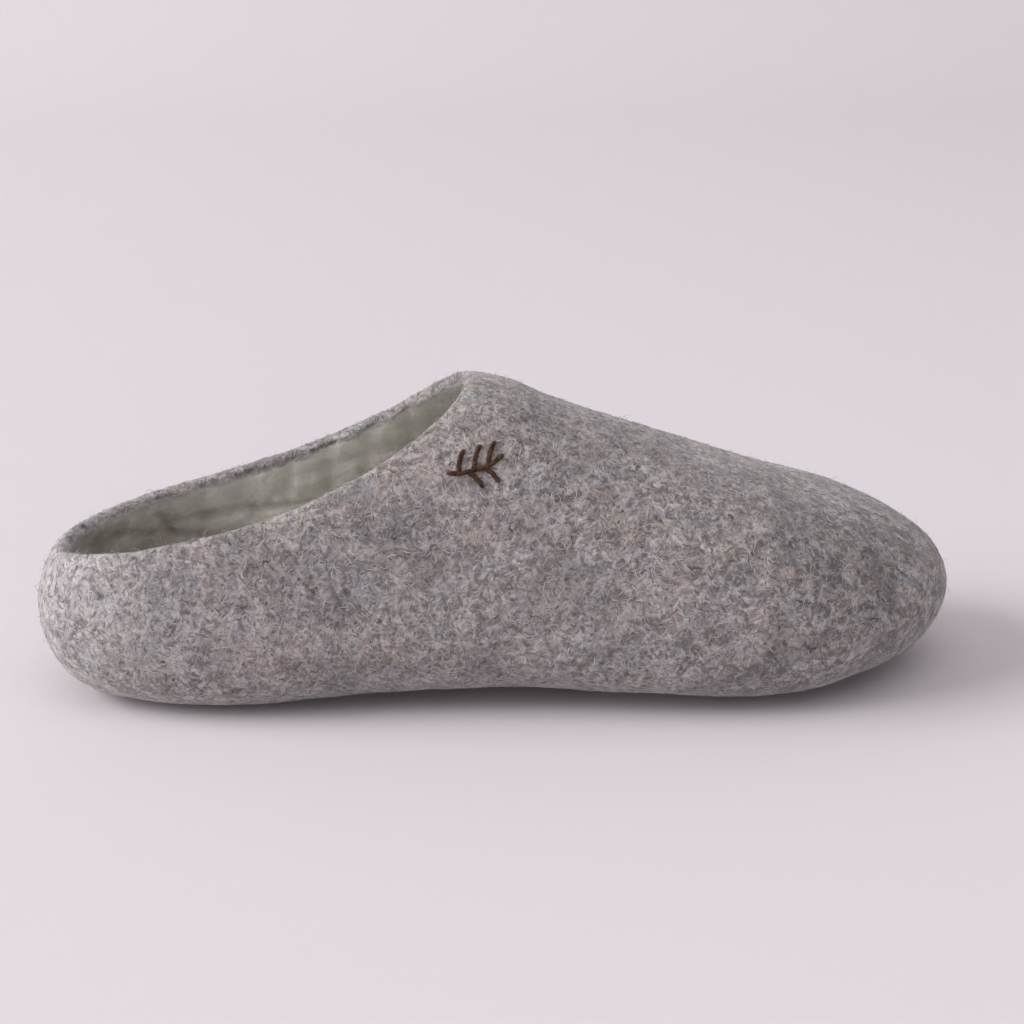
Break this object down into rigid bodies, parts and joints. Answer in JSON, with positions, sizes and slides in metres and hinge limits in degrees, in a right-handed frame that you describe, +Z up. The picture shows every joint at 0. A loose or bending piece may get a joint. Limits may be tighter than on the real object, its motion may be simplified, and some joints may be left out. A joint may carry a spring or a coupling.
{
  "type": "felt slipper",
  "caption": "Slip-on house slipper in thick felt, with a sloping open collar, a low heel wall, a felt sole and a loose footbed.",
  "frame": {"origin": "under the middle of the slipper's outside, on the plane it stands on", "axes": "+X from heel to toe, +Y towards the inner side of a right foot, +Z up"},
  "size_m": [0.2687, 0.0974, 0.0915],
  "materials": {
    "grey_felt": "grey marl wool felt with a light nap",
    "green_felt": "pale green wool felt"
  },
  "bodies": {
    "root": {"felt_upper": "grey_felt", "felt_sole": "grey_felt", "felt_insole": "green_felt"}
  },
  "joints": []
}
